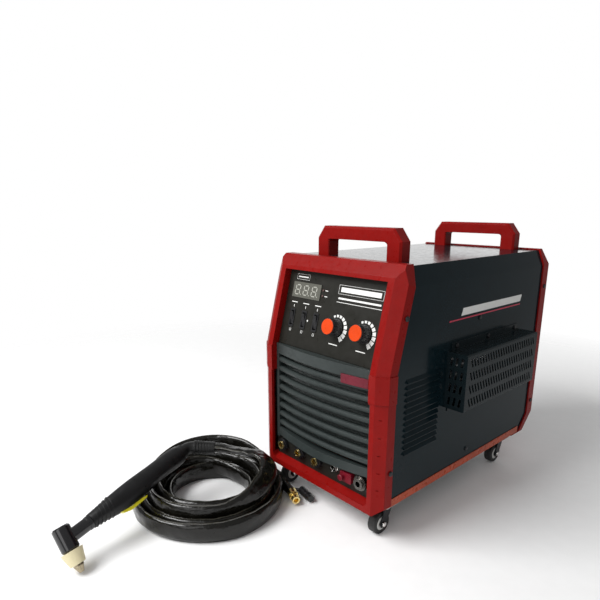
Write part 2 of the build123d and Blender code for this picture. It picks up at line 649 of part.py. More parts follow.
def make_fork(x, y):
    """Swivelling fork with its kingpin and the wheel's axle."""
    top = BASE_Z - 2.85
    body = rod((x, y, top - 3.5), (x, y, top), 9.3)
    body = body + rod((x, y, top - 1), (x, y, BASE_Z - 0.25), 4.0)
    half = WHEEL_W / 2 + 1.0
    axle_y = y - TRAIL
    for s in (1, -1):
        side = sorted((x + s * half, x + s * (half + 2.2)))
        leg = along_x([(y - 9, top), (y + 8, top), (y + 7, top - 8), (axle_y + 7, WHEEL_R - 2),
                       (axle_y + 4, WHEEL_R - 6.5), (axle_y - 4, WHEEL_R - 6.5),
                       (axle_y - 7, WHEEL_R), (y - 12, top - 8)], *side)
        body = body + leg
    body = body + box((x - half - 1, x + half + 1), (y - 9, y + 8), (top - 3.5, top))
    return body + rod((x - half - 4.2, axle_y, WHEEL_R), (x + half + 4.2, axle_y, WHEEL_R), AXLE_R)


def make_wheel(x, y):
    axle_y = y - TRAIL
    half = WHEEL_W / 2
    wheel = rod((x - half, axle_y, WHEEL_R), (x + half, axle_y, WHEEL_R), WHEEL_R)
    wheel = chamfer(wheel.edges(), 1.5)
    for s in (1, -1):
        face = x + s * half
        wheel = wheel - ring((face - s * 2.0, axle_y, WHEEL_R), (face + s, axle_y, WHEEL_R), 13.0, 6.0)
    return wheel - rod((x - 20, axle_y, WHEEL_R), (x + 20, axle_y, WHEEL_R), AXLE_R + RUN)


# ---------------------------------------------------------------- hand torch
AXIS = (HANDLE_END - HEAD_AT).normalized()
SQUARE = (CUP_DIRECTION - AXIS * CUP_DIRECTION.dot(AXIS)).normalized()
TORCH = Plane(origin=HEAD_AT, x_dir=AXIS, z_dir=SQUARE * -1)
LENGTH = (HANDLE_END - HEAD_AT).length
CUP_TILT = math.degrees(math.asin(CUP_DIRECTION.normalized().dot(AXIS)))


def on_torch(x, y=0.0, z=0.0):
    """Location in the torch's own frame: x towards the lead, z away from the nozzle."""
    return TORCH.location * Pos(x, y, z)


def head_frame(down):
    """Location on the nozzle's axis, down millimetres towards the tip, facing the tip."""
    return on_torch(0) * Rot(0, -CUP_TILT, 0) * Rot(180, 0, 0) * Pos(0, 0, down)


def torch_loft(stations):
    """Body through rounded sections: (x, half-width, half-height, height of the middle)."""
    faces = []
    for x, wide, tall, middle in stations:
        outline = TORCH.location * Plane(origin=(x, 0, middle), x_dir=(0, 1, 0), z_dir=(1, 0, 0)).location
        faces.append(outline * Ellipse(wide, tall).face())
    return loft(faces)


def make_torch_handle():
    body = torch_loft([(44, 12.5, 12.5, 0), (62, 15, 14, 0), (95, 16, 18.5, -1.5), (125, 16.5, 20, -1.5),
                       (160, 17, 18.5, 0), (200, 17.5, 18, 1), (LENGTH - 6, 16.5, 16.5, 1)])
    pocket = on_torch(116, 0, -21) * Box(56, 12.6, 20)
    core = on_torch(52) * Rot(0, 90, 0) * Cylinder(8.05, 40)
    return body - pocket - core + trigger_pin(15.0, 1.2)


def trigger_pin(length, radius):
    return on_torch(TRIGGER_X, 0, -15.5) * Rot(90, 0, 0) * Cylinder(radius, length)


def make_torch_head():
    """Insulated head moulding with its neck tube, which plugs into the handle."""
    barrel = head_frame(-2.0) * Cylinder(14.0, 40.0)
    barrel = chamfer(barrel.edges().group_by(lambda e: round(e.length, 1))[-1], 2.5)
    neck = on_torch(20) * Rot(0, 90, 0) * Cylinder(11.0, 36)
    collar = on_torch(40.5) * Rot(0, 90, 0) * Cylinder(11.8, 6)
    tube = on_torch(48) * Rot(0, 90, 0) * Cylinder(8.0, 40)
    head = barrel + neck + collar + tube
    return head - head_frame(15.5) * Cylinder(9.05, 6.0)


def make_cup():
    outer = head_frame(29.3) * Cone(17.0, 11.8, 22.0)
    outer = outer + head_frame(18.25) * Cylinder(17.0, 0.3)
    return outer - head_frame(29.3) * Cylinder(8.05, 26)


def make_nozzle():
    body = head_frame(30.0) * Cylinder(8.0, 26.6) + head_frame(15.3) * Cylinder(9.0, 5.4)
    tip = head_frame(48.4) * Cone(7.6, 3.6, 10.2)
    nozzle = body + tip
    nozzle = nozzle - head_frame(27.0) * Cylinder(5.0, 34.0)
    return nozzle - head_frame(48) * Cylinder(0.75, 20)


def make_electrode():
    return head_frame(24.0) * Cylinder(3.4, 21.0) + head_frame(36.5) * Cone(3.4, 2.0, 4.0)


def make_trigger():
    """Squeeze lever under the grip, hinged at its front end."""
    profile = [(TRIGGER_X - 3, -17.0), (TRIGGER_X + 3, -22.3), (TRIGGER_X + 16, -26.0),
               (TRIGGER_X + 46, -25.0), (TRIGGER_X + 50, -22.0), (TRIGGER_X + 40, -20.5),
               (TRIGGER_X + 16, -20.5), (TRIGGER_X + 4, -13.5), (TRIGGER_X - 3, -13.5)]
    face = make_face(Polyline(*[(x, -5.6, z) for x, z in profile], close=True)).face()
    return TORCH.location * Solid.extrude(face, Vector(0, 11.2, 0)) - trigger_pin(16.0, 1.2 + RUN)


# the boot leaves the handle along its axis and bends over to the right
BOOT_START = HEAD_AT + AXIS * (LENGTH - 6) + TORCH.z_dir * 1.0
BOOT_AIM = Vector(0.62, 0.78, -0.05).normalized()
BOOT_BEND = BOOT_START + AXIS * 24
BOOT_EXIT = BOOT_BEND + BOOT_AIM * 50


def make_boot():
    path = FilletPolyline(BOOT_START, BOOT_BEND, BOOT_EXIT, radius=20)
    boot = sweep(Plane(origin=BOOT_START, z_dir=AXIS) * Circle(11.4), path=path)
    boot = boot + Plane(origin=BOOT_START + AXIS * 4, z_dir=AXIS) * Cylinder(14.6, 8)
    for step in range(7):
        centre = BOOT_BEND + BOOT_AIM * (13 + 5.4 * step)
        boot = boot + Plane(origin=centre, z_dir=BOOT_AIM) * Cylinder(13.6 - 0.3 * step, 3.2)
    return boot


# ---------------------------------------------------------------- torch lead
# Free stretches of the lead: from the boot over the coil down to its inner turn, and from its
# outer turn to the machine-end connectors. The points are the corners of straight runs.
TORCH_TAIL = [
    (-150.0, -60.0, 88.0),
    (-116.0, -32.0, 82.0),
    (-80.0, -38.0, 74.0),
    (-57.0, -70.0, 64.0),
    (-50.0, -108.0, 50.0),
]
MACHINE_TAIL = [
    (-108.0, 1.0, 18.0),
    (-84.0, 1.5, 17.0),
    (-62.0, -2.0, 14.0),
]


def bend_radii(points):
    """One radius for each corner: 0.45 of the shorter run over the tangent of half the turn."""
    radii = []
    for a, b, c in zip(points, points[1:], points[2:]):
        first, second = Vector(*b) - Vector(*a), Vector(*c) - Vector(*b)
        turn = math.radians(first.get_angle(second))
        radii.append(0.45 * min(first.length, second.length) / math.tan(turn / 2))
    return radii


def make_tube(points, name):
    radii = bend_radii(points)
    path = FilletPolyline(*points, radius=radii)
    start = Vector(*points[1]) - Vector(*points[0])
    tube = sweep(Plane(origin=points[0], z_dir=start) * Circle(LEAD_R), path=path)
    expected = math.pi * LEAD_R ** 2 * path.length
    print(name, "radii", [round(r, 1) for r in radii], "length", round(path.length, 1),
          "volume ratio", round(tube.volume / expected, 4))
    return tube


def make_coil():
    """Outer shape of the coiled sheath: a ring with a raised middle and rounded edges."""
    inner, outer = COIL_R
    low, high = COIL_H
    section = [(inner, 0.3), (outer, 0.3), (outer, low)]
    section += [(outer - 14, high - 6), (outer - 24, high), (inner + 16, high), (inner, low)]
    face = make_face(Polyline(*[(r, 0, z) for r, z in section], close=True))
    coil = Pos(*COIL_AT) * revolve(face, Axis.Z)
    return fillet(coil.edges(), 4)


FITTING_DIRECTION = Vector(0.90, -0.42, -0.04).normalized()
FITTING_AT = Vector(*MACHINE_TAIL[-1])


def make_air_fitting():
    """Brass machine-end fitting with its hexagon nut and bore."""
    frame = Plane(origin=FITTING_AT, z_dir=FITTING_DIRECTION)
    body = frame * Pos(0, 0, 7) * Cylinder(9.0, 14.0)
    body = body + frame * Pos(0, 0, 15.5) * extrude(RegularPolygon(9.2, 6), 3.5, both=True)
    body = body + frame * Pos(0, 0, 24) * Cylinder(7.2, 12)
    return body - frame * Pos(0, 0, 25) * Cylinder(4.6, 16)


def make_control_plug():
    """Round plug on the switch wire, lying beside the brass fitting."""
    frame = Plane(origin=FITTING_AT + Vector(2.0, 24.0, -4.6), z_dir=Vector(0.97, -0.24, 0))
    body = frame * Pos(0, 0, 13) * Cylinder(8.0, 26.0)
    body = body + frame * Pos(0, 0, 31) * Cylinder(6.4, 12)
    wire = rod(tuple(FITTING_AT + Vector(-31, 8, -9.4)), tuple(frame.origin + frame.z_dir * 2), 3.2)
    return body + wire


# ---------------------------------------------------------------- build everything
def build_cabinet():
    holes = screw_holes()
    parts["front_bezel"] = make_front_bezel() - holes
    parts["wrap_cover"] = make_cover() - holes
    parts["rear_bezel"] = make_rear_bezel() - holes
    parts["side_vent_box"] = make_vent_box() - holes
    parts["base_tray"] = make_tray()
    parts["rear_panel"] = make_rear_panel()
    parts["front_handle"] = make_handle(HANDLE_Y[0])
    parts["rear_handle"] = make_handle(HANDLE_Y[1])
    parts["case_screws"] = group(screw(head, normal) for head, normal in screw_places())
    parts["front_grille"] = make_grille()
    parts["grille_badge"] = make_badge()
    parts["control_panel"] = make_control_panel()
    parts["connector_panel"] = make_connector_panel()
    parts["socket_bodies"] = group(make_socket_body(x) for x in SOCKET_X)
    parts["socket_inserts"] = group(make_socket_insert(x) for x in SOCKET_X)
    parts["control_socket"] = make_control_socket()
    parts["pilot_terminal"] = make_pilot_terminal()
    parts["torch_socket"] = make_torch_socket()


def build_controls():
    parts["switch_bodies"] = group(make_switch_body(x) for x in SWITCH_X)
    for name, x in zip(("left", "middle", "right"), SWITCH_X):
        parts[name + "_rocker"] = make_rocker(x)
    for name, x in zip(("current", "flow"), KNOB_X):
        parts[name + "_knob"] = make_knob(x)
        parts[name + "_knob_cap"] = make_knob_cap(x)
    parts["potentiometers"] = group(make_potentiometer(x) for x in KNOB_X)
    parts["meter"] = make_meter()
    parts["indicator_lamps"] = group(make_lamp(up) for up in (101.5, 111.5))


def build_rear_and_inside():
    parts["fan_frame"] = make_fan_frame()
    parts["fan_rotor"] = make_fan_rotor()
    parts["breaker_body"] = make_breaker()
    parts["breaker_lever"] = make_breaker_lever()
    parts["cable_gland"] = make_gland()
    parts["air_inlet"] = make_inlet()
    parts["solenoid_valve"] = make_valve()
    parts["heat_sink"] = make_heat_sink()
    parts["transformer"] = make_transformer()
    parts["main_board"] = make_main_board()


def build_casters():
    corners = {"front_left": (-CASTER_X, CASTER_Y[0]), "front_right": (CASTER_X, CASTER_Y[0]),
               "rear_left": (-CASTER_X, CASTER_Y[1]), "rear_right": (CASTER_X, CASTER_Y[1])}
    parts["caster_plates"] = group(make_caster_plate(x, y) for x, y in corners.values())
    for name, (x, y) in corners.items():
        parts["caster_fork_" + name] = make_fork(x, y)
        parts["caster_wheel_" + name] = make_wheel(x, y)


def build_torch():
    parts["torch_handle"] = make_torch_handle()
    parts["torch_head"] = make_torch_head()
    parts["shield_cup"] = make_cup()
    parts["nozzle"] = make_nozzle()
    parts["electrode"] = make_electrode()
    parts["torch_trigger"] = make_trigger()
    parts["lead_boot"] = make_boot()
    parts["lead_coil"] = make_coil()
    parts["lead_tail_torch"] = make_tube([tuple(BOOT_EXIT)] + TORCH_TAIL, "lead_tail_torch")
    parts["lead_tail_machine"] = make_tube(MACHINE_TAIL, "lead_tail_machine")
    parts["air_fitting"] = make_air_fitting()
    parts["control_plug"] = make_control_plug()


CORD_NODES = ("lead_boot", "lead_coil", "lead_tail_torch", "lead_tail_machine", "air_fitting", "control_plug")


def shift_to_origin():
    """The move that puts the origin under the middle of the cabinet and torch, without the lead."""
    boxes = [shape.bounding_box() for name, shape in parts.items() if name not in CORD_NODES]
    middle_x = (min(b.min.X for b in boxes) + max(b.max.X for b in boxes)) / 2
    middle_y = (min(b.min.Y for b in boxes) + max(b.max.Y for b in boxes)) / 2
    return Vector(-middle_x, -middle_y, 0)


build_cabinet()
build_controls()
build_rear_and_inside()
build_casters()
build_torch()
move = shift_to_origin()
os.makedirs("parts", exist_ok=True)
for node, shape in parts.items():
    export_step(Pos(*move) * shape, f"parts/{node}.step")
print(len(parts), "nodes, moved by", tuple(round(v, 3) for v in move))
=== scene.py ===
"""Looks of the plasma cutter unit: cabinet on casters, hand torch and coiled torch lead.

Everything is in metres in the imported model's own frame. Places on the object are given in millimetres
from the middle of the cabinet's front lip on the floor, the point that at() starts from."""

import math

import bmesh
import bpy
from mathutils import Matrix, Vector, noise


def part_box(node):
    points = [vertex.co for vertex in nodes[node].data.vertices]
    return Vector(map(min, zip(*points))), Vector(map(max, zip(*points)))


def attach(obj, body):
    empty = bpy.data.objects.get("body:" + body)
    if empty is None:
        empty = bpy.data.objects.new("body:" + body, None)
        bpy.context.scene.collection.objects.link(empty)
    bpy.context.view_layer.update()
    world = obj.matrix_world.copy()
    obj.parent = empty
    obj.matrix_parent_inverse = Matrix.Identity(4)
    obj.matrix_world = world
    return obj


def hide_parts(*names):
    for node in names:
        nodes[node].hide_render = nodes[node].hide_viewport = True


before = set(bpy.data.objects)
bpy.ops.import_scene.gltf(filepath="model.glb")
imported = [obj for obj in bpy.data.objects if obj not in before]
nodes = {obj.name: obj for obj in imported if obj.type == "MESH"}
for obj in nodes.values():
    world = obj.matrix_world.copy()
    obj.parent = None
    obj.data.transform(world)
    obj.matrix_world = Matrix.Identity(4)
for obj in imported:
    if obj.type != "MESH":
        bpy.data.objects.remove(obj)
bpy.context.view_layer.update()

MM = 0.001
CABINET_DEPTH = 518.0
cover_low, cover_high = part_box("wrap_cover")
CABINET = Vector(((cover_low.x + cover_high.x) / 2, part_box("rear_bezel")[1].y - CABINET_DEPTH * MM, 0.0))


def at(x, y, z):
    """A point in millimetres from the middle of the cabinet's front lip, on the floor."""
    return CABINET + Vector((x, y, z)) * MM


# ---------------------------------------------------------------- the leaning control panel
LEAN, LEAN_Z, RECESS = 0.25, 293.0, 15.0
PANEL_UP = Vector((0, LEAN, 1)).normalized()
PANEL_OUT = Vector((0, -1, LEAN)).normalized()
KNOB_X, SWITCH_X, CONTROL_UP = (18.4, 79.9), (-93.5, -63.0, -32.5), 54.0


def panel_frame(x, up, out=0.0):
    """Matrix whose X runs across the control panel, Y up its slope and Z out of its face."""
    place = at(x, RECESS, LEAN_Z) + (PANEL_UP * up + PANEL_OUT * out) * MM
    turn = Matrix((Vector((1, 0, 0)), PANEL_UP, PANEL_OUT)).transposed().to_4x4()
    return Matrix.Translation(place) @ turn


# ---------------------------------------------------------------- the hand torch's own frame
HEAD_AT, HANDLE_END = Vector((-145, -386, 48)), Vector((-204.7, -152.1, 92))
CUP_DIRECTION = Vector((0.58, 0.16, -0.80))
TORCH_AXIS = (HANDLE_END - HEAD_AT).normalized()
TORCH_UP = -(CUP_DIRECTION - TORCH_AXIS * CUP_DIRECTION.dot(TORCH_AXIS)).normalized()
TORCH_SIDE = TORCH_UP.cross(TORCH_AXIS)
HANDLE_LENGTH = (HANDLE_END - HEAD_AT).length
BOOT_START = HEAD_AT + TORCH_AXIS * (HANDLE_LENGTH - 6) + TORCH_UP
BOOT_BEND = BOOT_START + TORCH_AXIS * 24
BOOT_EXIT = BOOT_BEND + Vector((0.62, 0.78, -0.05)).normalized() * 50


def torch_frame():
    """Matrix at the torch's head, whose X runs towards the lead and whose Z points away from the nozzle."""
    turn = Matrix((TORCH_AXIS, TORCH_SIDE, TORCH_UP)).transposed().to_4x4()
    return Matrix.Translation(at(*HEAD_AT)) @ turn


# ---------------------------------------------------------------- materials
def link(tree, start, out, end, into):
    tree.links.new(start.outputs[out], end.inputs[into])


def noise_node(tree, scale, detail=3.0, stretch=(1, 1, 1)):
    """Noise over the object's own metres."""
    place = tree.nodes.new("ShaderNodeTexCoord")
    mapping = tree.nodes.new("ShaderNodeMapping")
    mapping.inputs["Scale"].default_value = stretch
    texture = tree.nodes.new("ShaderNodeTexNoise")
    texture.inputs["Scale"].default_value = scale
    texture.inputs["Detail"].default_value = detail
    link(tree, place, "Object", mapping, "Vector")
    link(tree, mapping, "Vector", texture, "Vector")
    return texture


def ramp(tree, source, low, high, from_low=0.3, from_high=0.7):
    """Stretches a noise to the values low to high."""
    node = tree.nodes.new("ShaderNodeMapRange")
    node.inputs["From Min"].default_value = from_low
    node.inputs["From Max"].default_value = from_high
    node.inputs["To Min"].default_value = low
    node.inputs["To Max"].default_value = high
    tree.links.new(source, node.inputs["Value"])
    return node.outputs["Result"]


COAT_ROUGHNESS = 0.08
FINE_TO_BROAD = 3.1                 # how much finer the roughness varies than the colour


def finish_of(name, colour, roughness, metallic=0.0, specular=0.5, coat=0.0, mottle=0.12, mottle_scale=40.0,
              grain=0.0, grain_scale=2500.0, wave=0.0, wave_scale=60.0, stretch=(1, 1, 1), edge=0.5,
              smear=0.25):
    """A procedural material. Mottle varies the colour and smear the roughness. Grain is a fine moulded or
    blasted texture and wave a slow unevenness, both in millimetres; edge is the radius by which sharp edges
    look rounded. The scales are in waves per metre."""
    material = bpy.data.materials.new(name)
    material.use_nodes = True
    tree = material.node_tree
    surface = tree.nodes["Principled BSDF"]
    surface.inputs["Metallic"].default_value = metallic
    surface.inputs["Specular IOR Level"].default_value = specular
    surface.inputs["Coat Weight"].default_value = coat
    surface.inputs["Coat Roughness"].default_value = COAT_ROUGHNESS
    broad = noise_node(tree, mottle_scale, 4.0, stretch)
    blend = tree.nodes.new("ShaderNodeMix")
    blend.data_type = "RGBA"
    blend.inputs["A"].default_value = (*[c * (1 - mottle) for c in colour], 1)
    blend.inputs["B"].default_value = (*[min(1.0, c * (1 + mottle)) for c in colour], 1)
    tree.links.new(ramp(tree, broad.outputs["Fac"], 0, 1), blend.inputs["Factor"])
    link(tree, blend, "Result", surface, "Base Color")
    fine = noise_node(tree, mottle_scale * FINE_TO_BROAD, 5.0, stretch)
    rough = ramp(tree, fine.outputs["Fac"], roughness * (1 - smear), min(1.0, roughness * (1 + smear)))
    tree.links.new(rough, surface.inputs["Roughness"])
    rounded = tree.nodes.new("ShaderNodeBevel")
    rounded.samples = 4
    rounded.inputs["Radius"].default_value = edge * MM
    last = rounded
    for depth, scale in ((wave, wave_scale), (grain, grain_scale)):
        if depth:
            bump = tree.nodes.new("ShaderNodeBump")
            bump.inputs["Strength"].default_value = 1.0
            bump.inputs["Distance"].default_value = depth * MM
            link(tree, noise_node(tree, scale, 3.0, stretch), "Fac", bump, "Height")
            link(tree, last, "Normal", bump, "Normal")
            last = bump
    link(tree, last, "Normal", surface, "Normal")
    return material


RED = finish_of("red_plastic", (0.205, 0.0040, 0.003), 0.34, specular=0.12, grain=0.05, mottle=0.06, edge=0.9)
PAINT = finish_of("cover_paint", (0.0045, 0.0115, 0.0150), 0.15, specular=0.10, wave=0.05, wave_scale=220,
                  mottle=0.1, edge=0.7)
# The vent box's own dark blue paint, made lighter than the cover's: painted light for its front, which lies
# in the cabinet's shadow.
VENT_PAINT_LIT = finish_of("vent_box_paint_lit", (0.0075, 0.0130, 0.0155), 0.24, specular=0.12, wave=0.04,
                       wave_scale=220, mottle=0.1, edge=0.6)
TRAY_PAINT = finish_of("tray_paint", (0.36, 0.045, 0.008), 0.3, specular=0.3, mottle=0.15)
GRILLE = finish_of("grille_plastic", (0.026, 0.033, 0.032), 0.40, specular=0.3, grain=0.06, mottle=0.08,
                   edge=0.8)
FILM = finish_of("panel_film", (0.0140, 0.0135, 0.0108), 0.35, specular=0.24, grain=0.02, mottle=0.1,
                 mottle_scale=25)
BLACK = finish_of("black_plastic", (0.009, 0.009, 0.010), 0.32, grain=0.04, mottle=0.15)
GRIP = finish_of("grip_plastic", (0.005, 0.005, 0.0055), 0.36, specular=0.35, grain=0.09, grain_scale=1600,
                 mottle=0.2, edge=0.8)
BOOT = finish_of("boot_rubber", (0.006, 0.006, 0.006), 0.42, specular=0.35, grain=0.07, grain_scale=1800,
                 mottle=0.2)
ORANGE = finish_of("orange_plastic", (0.60, 0.050, 0.004), 0.33, specular=0.25, grain=0.02, mottle=0.06)
BADGE = finish_of("badge_plastic", (0.125, 0.007, 0.018), 0.25, mottle=0.08, specular=0.25)
MAGENTA = finish_of("terminal_plastic", (0.14, 0.004, 0.012), 0.33, specular=0.3, grain=0.03, mottle=0.1)
BRASS = finish_of("brass", (0.93, 0.68, 0.27), 0.25, metallic=1.0, mottle=0.2, mottle_scale=220, smear=0.5)
CHROME = finish_of("chrome", (0.72, 0.71, 0.69), 0.14, metallic=1.0, mottle=0.12, mottle_scale=150, smear=0.5)
GUNMETAL = finish_of("gunmetal", (0.16, 0.15, 0.14), 0.28, metallic=1.0, mottle=0.2, mottle_scale=150,
                     smear=0.5)
ZINC = finish_of("zinc_plate", (0.42, 0.42, 0.43), 0.34, metallic=1.0, mottle=0.25, mottle_scale=90,
                 grain=0.02)
SCREW = finish_of("black_oxide", (0.030, 0.030, 0.033), 0.36, metallic=0.7, mottle=0.3, mottle_scale=300)
ALUMINIUM = finish_of("aluminium", (0.68, 0.68, 0.69), 0.35, metallic=1.0, mottle=0.1, stretch=(1, 12, 1))
BOARD = finish_of("circuit_board", (0.02, 0.11, 0.05), 0.4, mottle=0.5, mottle_scale=300)
WINDING = finish_of("varnished_winding", (0.22, 0.09, 0.03), 0.4, mottle=0.4, mottle_scale=200, wave=0.3)
TYRE = finish_of("tyre_rubber", (0.010, 0.010, 0.010), 0.6, grain=0.08, grain_scale=1200, mottle=0.35)
HUB = finish_of("hub_plastic", (0.52, 0.52, 0.50), 0.4, mottle=0.1, grain=0.03)
CERAMIC = finish_of("cream_ceramic", (0.74, 0.66, 0.42), 0.42, mottle=0.07, grain=0.03, edge=0.6)
NOZZLE = finish_of("plated_copper", (0.34, 0.29, 0.20), 0.25, metallic=1.0, mottle=0.25, mottle_scale=260)
COPPER = finish_of("copper", (0.75, 0.33, 0.18), 0.3, metallic=1.0, mottle=0.2, mottle_scale=260)
YELLOW = finish_of("yellow_plastic", (0.78, 0.70, 0.015), 0.35, grain=0.02, mottle=0.05, edge=0.6)
GLOSS = finish_of("torch_head_plastic", (0.006, 0.006, 0.007), 0.14, mottle=0.2, coat=0.3, edge=0.8)
SHEATH = finish_of("lead_sheath", (0.0042, 0.0038, 0.0026), 0.19, specular=0.4, wave=1.1, wave_scale=55,
                   mottle=0.35, grain=0.35, grain_scale=190, edge=0.4, smear=0.5)
# Welded seam bead, paler than the sheath: a painted highlight standing in for the light caught along the
# seam.
WELD_HIGHLIGHT = finish_of("sheath_weld_highlight", (0.030, 0.028, 0.021), 0.16, specular=0.9, mottle=0.3, mottle_scale=150,
                 smear=0.5)
GLASS = finish_of("meter_window", (0.095, 0.095, 0.080), 0.2, mottle=0.06, specular=0.4)
SEGMENT = finish_of("meter_segments", (0.34, 0.34, 0.30), 0.45, mottle=0.05, mottle_scale=400)
LAMP = finish_of("lamp_lens", (0.07, 0.035, 0.032), 0.12, mottle=0.15, mottle_scale=300, coat=0.6)
MARK = finish_of("pale_print", (0.74, 0.74, 0.72), 0.5, mottle=0.05, mottle_scale=500)
ACCENT = finish_of("crimson_print", (0.50, 0.020, 0.060), 0.45, mottle=0.08, mottle_scale=400)

CORNERS = ("front_left", "front_right", "rear_left", "rear_right")
NODE_MATERIALS = {
    RED: ("front_bezel", "rear_bezel", "front_handle", "rear_handle"),
    PAINT: ("wrap_cover", "rear_panel"),
    VENT_PAINT_LIT: ("side_vent_box",),
    TRAY_PAINT: ("base_tray",),
    GRILLE: ("front_grille",),
    FILM: ("control_panel", "connector_panel"),
    BLACK: ("socket_bodies", "switch_bodies", "left_rocker", "middle_rocker", "right_rocker",
            "current_knob", "flow_knob", "fan_frame", "fan_rotor", "breaker_body", "breaker_lever",
            "cable_gland", "control_plug"),
    GRIP: ("torch_handle",),
    BOOT: ("lead_boot",),
    ORANGE: ("current_knob_cap", "flow_knob_cap"),
    BADGE: ("grille_badge",),
    MAGENTA: ("pilot_terminal",),
    BRASS: ("socket_inserts", "air_inlet", "air_fitting", "solenoid_valve"),
    CHROME: ("control_socket",),
    GUNMETAL: ("torch_socket",),
    ZINC: ("caster_plates", "potentiometers"),
    TYRE: tuple("caster_wheel_" + corner for corner in CORNERS),
    SCREW: ("case_screws", *("caster_fork_" + corner for corner in CORNERS)),
    ALUMINIUM: ("heat_sink",),
    BOARD: ("main_board",),
    WINDING: ("transformer",),
    CERAMIC: ("shield_cup",),
    NOZZLE: ("nozzle",),
    COPPER: ("electrode",),
    YELLOW: ("torch_trigger",),
    GLOSS: ("torch_head",),
    GLASS: ("meter",),
    LAMP: ("indicator_lamps",),
}


def paint_underside_shade(material):
    """Painted shade: dark grey wherever the surface faces straight down, under the cabinet, so that it sends
    no red light onto the floor.
    """
    tree = material.node_tree
    surface = tree.nodes["Principled BSDF"]
    painted = surface.inputs["Base Color"].links[0].from_socket
    facing = tree.nodes.new("ShaderNodeNewGeometry")
    parts = tree.nodes.new("ShaderNodeSeparateXYZ")
    link(tree, facing, "Normal", parts, "Vector")
    blend = tree.nodes.new("ShaderNodeMix")
    blend.data_type = "RGBA"
    # painted shade colour of the underside
    blend.inputs["A"].default_value = (0.03, 0.03, 0.03, 1)
    tree.links.new(ramp(tree, parts.outputs["Z"], 0, 1, -0.9, -0.8), blend.inputs["Factor"])
    tree.links.new(painted, blend.inputs["B"])
    link(tree, blend, "Result", surface, "Base Color")


def dress_cad_nodes():
    paint_underside_shade(TRAY_PAINT)
    for material, names in NODE_MATERIALS.items():
        for name in names:
            mesh = nodes[name].data
            mesh.materials.clear()
            mesh.materials.append(material)


# ---------------------------------------------------------------- mesh helpers
def new_piece(name, verts, faces, material, body, slot=None, smooth=35.0):
    """A mesh piece that rides on a body. Edges sharper than smooth degrees stay sharp."""
    mesh = bpy.data.meshes.new(name)
    mesh.from_pydata([tuple(v) for v in verts], [], faces)
    mesh.materials.append(material)
    mesh.update()
    piece = bpy.data.objects.new(name, mesh)
    bpy.context.scene.collection.objects.link(piece)
    if smooth:
        shape = bmesh.new()
        shape.from_mesh(mesh)
        bmesh.ops.recalc_face_normals(shape, faces=shape.faces)
        for face in shape.faces:
            face.smooth = True
        for crease in shape.edges:
            if len(crease.link_faces) == 2 and crease.calc_face_angle(0) > math.radians(smooth):
                crease.smooth = False
        shape.to_mesh(mesh)
        shape.free()
    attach(piece, body)
    return piece


def prism(outline, low, high):
    """Verts and faces of an outline (x, y) carried from z low to z high."""
    n = len(outline)
    verts = [(x, y, z) for z in (low, high) for x, y in outline]
    faces = [tuple(reversed(range(n))), tuple(range(n, 2 * n))]
    faces += [(i, (i + 1) % n, n + (i + 1) % n, n + i) for i in range(n)]
    return verts, faces


def join(shapes):
    """Several (verts, faces) as one."""
    verts, faces = [], []
    for some, sides in shapes:
        start = len(verts)
        verts += some
        faces += [tuple(i + start for i in side) for side in sides]
    return verts, faces


def placed(matrix, shape):
    """A shape in millimetres moved into the row frame."""
    verts, faces = shape
    return [matrix @ (Vector(v) * MM) for v in verts], faces


def lathe(profile, steps=48):
    """Verts and faces of a closed profile (radius, height) turned about Z."""
    verts, faces, n = [], [], len(profile)
    for i in range(steps):
        turn = 2 * math.pi * i / steps
        verts += [(r * math.cos(turn), r * math.sin(turn), h) for r, h in profile]
    for i in range(steps):
        for j in range(n):
            a, b = i * n + j, i * n + (j + 1) % n
            faces.append((a, b, (b + n) % len(verts), (a + n) % len(verts)))
    return verts, faces


# ---------------------------------------------------------------- print on the control panel
PRINT = (0.02, 0.16)                # where a printed mark's back and face lie above its surface


def bar(width, height, x=0.0, y=0.0, slant=0.0):
    """A flat printed bar about (x, y); its upper edge is moved sideways by slant."""
    w, h = width / 2, height / 2
    outline = [(x - w, y - h), (x + w, y - h), (x + w + slant, y + h), (x - w + slant, y + h)]
    return prism(outline, *PRINT)


def outlined(width, height, line=0.6):
    """A printed rectangle of thin lines."""
    w, h = width / 2, height / 2
    level = [bar(width, line, 0, y) for y in (h, -h)]
    upright = [bar(line, height, x, 0) for x in (w, -w)]
    return join(level + upright)


def digit_eight():
    """All seven segments of one display digit and its point, slanted like the real ones."""
    slant, w, h, gap, tip = 1.2, 5.6, 8.4, 1.2, 1.0
    shapes = []
    for y in (-h, 0.0, h):
        x = slant * y / h
        left, right = x - w + gap, x + w - gap
        outline = [(left, y), (left + tip, y - tip), (right - tip, y - tip),
                   (right, y), (right - tip, y + tip), (left + tip, y + tip)]
        shapes.append(prism(outline, *PRINT))
    for s in (-1, 1):
        for y in (-h / 2, h / 2):
            x = s * w + slant * y / h
            outline = [(x - 0.2, y - 3.7), (x + 1.0, y - 2.6), (x + 1.3, y + 2.6), (x + 0.2, y + 3.7),
                       (x - 1.0, y + 2.6), (x - 1.3, y - 2.6)]
            shapes.append(prism(outline, *PRINT))
    shapes.append(bar(2.0, 2.0, w + 2.8, -h))
    return join(shapes)


def dial_blocks():
    """Blocks round a knob that grow clockwise, from the upper left to the lower right."""
    count, start, pitch = 9, 112.0, 20.5
    shapes = []
    for step in range(count):
        turn = math.radians(start - pitch * step)
        grown = step / (count - 1)
        near, far, half = 17.4, 21.0 + 5.0 * grown, 1.9 + 1.1 * grown
        across = Vector((-math.sin(turn), math.cos(turn)))
        out = Vector((math.cos(turn), math.sin(turn)))
        corners = [out * near - across * half, out * far - across * half * 1.25,
                   out * far + across * half * 1.25, out * near + across * half]
        shapes.append(prism([tuple(c) for c in corners], *PRINT))
    return join(shapes)


